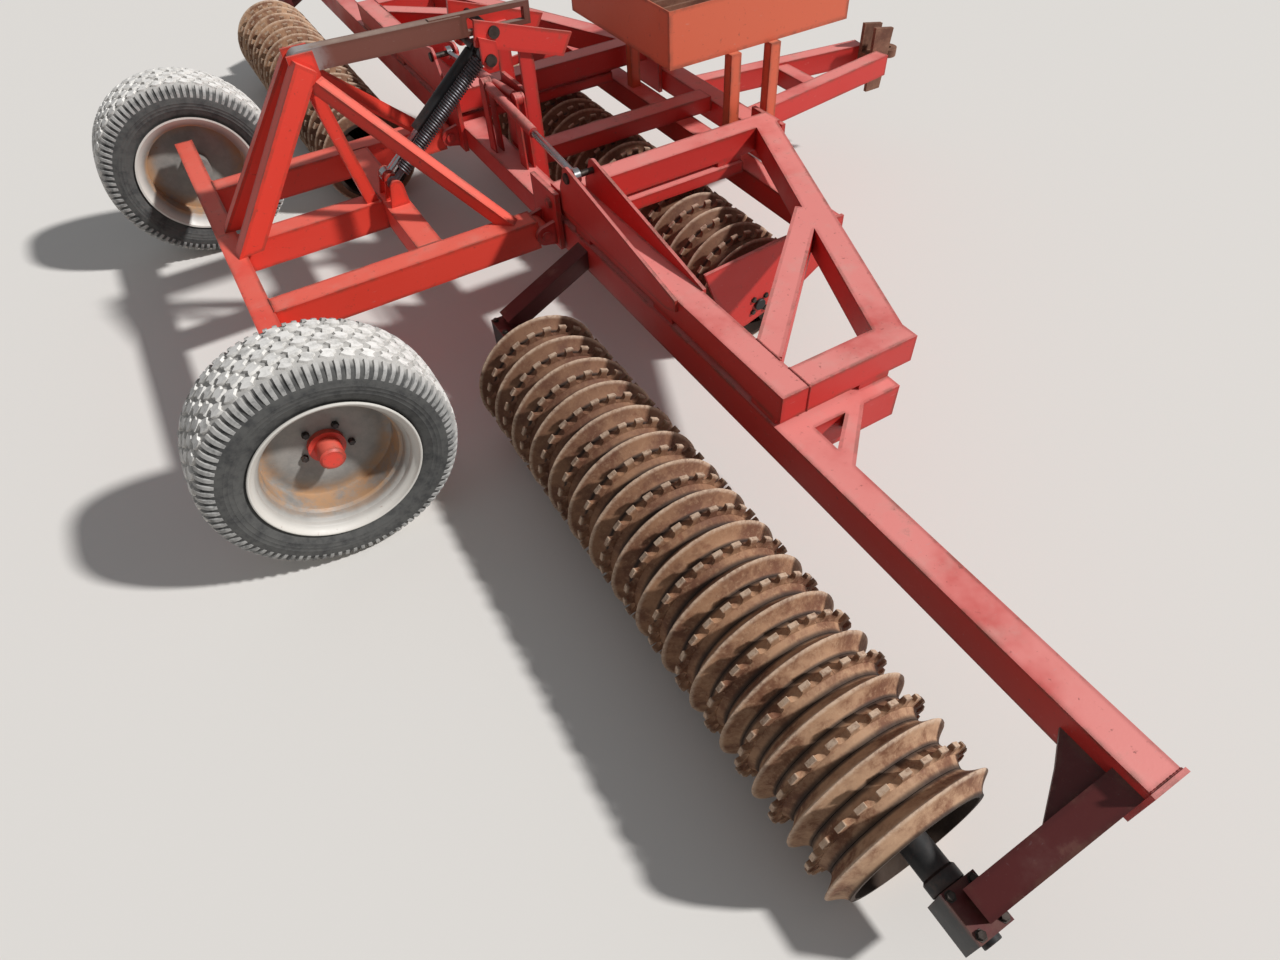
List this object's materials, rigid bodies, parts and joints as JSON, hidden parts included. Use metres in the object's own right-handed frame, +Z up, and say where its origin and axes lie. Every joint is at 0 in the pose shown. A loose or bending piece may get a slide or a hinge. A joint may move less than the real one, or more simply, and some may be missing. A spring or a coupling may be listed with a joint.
{
  "type": "land roller",
  "caption": "Towed land roller with three gangs of alternating smooth and toothed rings, folding wings, a lifting tail on two wheels and a ballast tray.",
  "frame": {"origin": "on the ground under the middle of the machine's length and width", "axes": "+X forward to the towing eye, +Y to the left, +Z up"},
  "size_m": [3.935, 6.624, 1.188],
  "materials": {
    "red_paint": "satin, faded and scratched",
    "tail_paint": "satin",
    "tray_paint": "satin",
    "worn_paint": "worn and dusty",
    "black_paint": "satin",
    "rim_paint": "satin with rust",
    "ring_iron": "rusty with worn edges",
    "rusty_steel": "rusty",
    "spring_steel": "dull",
    "bright_steel": "polished",
    "tyre": "dusty"
  },
  "bodies": {
    "chassis": {"centre_frame": "red_paint", "gang_beam": "red_paint", "hinge_posts": "red_paint", "tail_lugs": "red_paint", "gang_plates": "red_paint", "gang_bearings": "black_paint", "centre_mast": "red_paint", "mast_back": "red_paint", "mast_arms": "red_paint", "lift_lugs": "red_paint", "mast_pins": "red_paint", "fold_anchors": "red_paint", "drawbar": "red_paint", "hitch": "rusty_steel", "tray": "tray_paint", "tray_grating": "rusty_steel", "tray_posts": "red_paint"},
    "centre_gang": {"centre_gang": "ring_iron"},
    "tail": {"axle_beam": "tail_paint", "tail_frame": "tail_paint", "tail_ears": "tail_paint", "rear_mast": "tail_paint", "mast_stays": "tail_paint", "spindles": "black_paint"},
    "lift_barrel": {"lift_barrel": "black_paint", "spring": "spring_steel"},
    "lift_rod": {"lift_rod": "bright_steel", "spring_rod": "spring_steel"},
    "top_link": {"top_link": "worn_paint"},
    "wheel_right": {"tyre_right": "tyre", "rim_right": "rim_paint", "hub_cap_right": "red_paint"},
    "wing_right": {"wing_carrier_right": "red_paint", "lever_plates_right": "red_paint", "roller_frame_right": "red_paint", "roller_arms_right": "red_paint", "roller_bearings_right": "black_paint"},
    "gang_right": {"wing_gang_right": "ring_iron"},
    "fold_barrel_right": {"fold_barrel_right": "red_paint"},
    "fold_rod_right": {"fold_rod_right": "bright_steel"},
    "wheel_left": {"tyre_left": "tyre", "rim_left": "rim_paint", "hub_cap_left": "red_paint"},
    "wing_left": {"wing_carrier_left": "red_paint", "lever_plates_left": "red_paint", "roller_frame_left": "red_paint", "roller_arms_left": "red_paint", "roller_bearings_left": "black_paint"},
    "gang_left": {"wing_gang_left": "ring_iron"},
    "fold_barrel_left": {"fold_barrel_left": "red_paint"},
    "fold_rod_left": {"fold_rod_left": "bright_steel"}
  },
  "joints": [
    {"name": "tail_lift", "type": "hinge", "parent": "chassis", "child": "tail", "pos_m": [-0.4395, 0, 0.51], "axis": [0, -1, 0], "range_deg": [-3, 15]},
    {"name": "centre_gang_spin", "type": "hinge", "parent": "chassis", "child": "centre_gang", "pos_m": [0.2275, 0, 0.25], "axis": [0, 1, 0], "continuous": true},
    {"name": "lift_barrel_tilt", "type": "hinge", "parent": "chassis", "child": "lift_barrel", "pos_m": [-0.3875, 0, 1.04], "axis": [0, -1, 0], "range_deg": [-1.54, 6.52]},
    {"name": "lift_rod_slide", "type": "slide", "parent": "lift_barrel", "child": "lift_rod", "axis": [-0.7793, 0, -0.6267], "range_m": [-0.0198, 0.0952]},
    {"name": "top_link_tilt", "type": "hinge", "parent": "tail", "child": "top_link", "pos_m": [-1.0595, 0, 1.15], "axis": [0, -1, 0], "range_deg": [-2.89, 0.82]},
    {"name": "wheel_spin_right", "type": "hinge", "parent": "tail", "child": "wheel_right", "pos_m": [-1.5475, -1.156, 0.42], "axis": [0, 1, 0], "continuous": true},
    {"name": "wing_fold_right", "type": "hinge", "parent": "chassis", "child": "wing_right", "pos_m": [-0.3075, -0.56, 0.63], "axis": [-1, 0, 0], "range_deg": [0, 90]},
    {"name": "gang_spin_right", "type": "hinge", "parent": "wing_right", "child": "gang_right", "pos_m": [-0.7285, -2.039, 0.25], "axis": [0, 1, 0], "continuous": true},
    {"name": "fold_barrel_tilt_right", "type": "hinge", "parent": "chassis", "child": "fold_barrel_right", "pos_m": [-0.3325, 0.11, 0.85], "axis": [1, 0, 0], "range_deg": [-0.3, 4.54]},
    {"name": "fold_rod_slide_right", "type": "slide", "parent": "fold_barrel_right", "child": "fold_rod_right", "axis": [0, -0.9968, -0.08], "range_m": [-0.2924, 0]},
    {"name": "wheel_spin_left", "type": "hinge", "parent": "tail", "child": "wheel_left", "pos_m": [-1.5475, 1.156, 0.42], "axis": [0, 1, 0], "continuous": true},
    {"name": "wing_fold_left", "type": "hinge", "parent": "chassis", "child": "wing_left", "pos_m": [-0.3075, 0.56, 0.63], "axis": [1, 0, 0], "range_deg": [0, 90]},
    {"name": "gang_spin_left", "type": "hinge", "parent": "wing_left", "child": "gang_left", "pos_m": [-0.7285, 2.039, 0.25], "axis": [0, 1, 0], "continuous": true},
    {"name": "fold_barrel_tilt_left", "type": "hinge", "parent": "chassis", "child": "fold_barrel_left", "pos_m": [-0.2825, -0.11, 0.85], "axis": [-1, 0, 0], "range_deg": [-0.3, 4.54]},
    {"name": "fold_rod_slide_left", "type": "slide", "parent": "fold_barrel_left", "child": "fold_rod_left", "axis": [0, 0.9968, -0.08], "range_m": [-0.2924, 0]}
  ],
  "couplings": [
    {"joint": "lift_barrel_tilt", "follows": "tail_lift", "ratio": 0.41445},
    {"joint": "lift_rod_slide", "follows": "tail_lift", "m_per_rad": 0.35971},
    {"joint": "top_link_tilt", "follows": "tail_lift", "ratio": -0.17267},
    {"joint": "fold_barrel_tilt_right", "follows": "wing_fold_right", "ratio": 0.04713},
    {"joint": "fold_rod_slide_right", "follows": "wing_fold_right", "m_per_rad": -0.18553},
    {"joint": "fold_barrel_tilt_left", "follows": "wing_fold_left", "ratio": 0.04713},
    {"joint": "fold_rod_slide_left", "follows": "wing_fold_left", "m_per_rad": -0.18553}
  ]
}
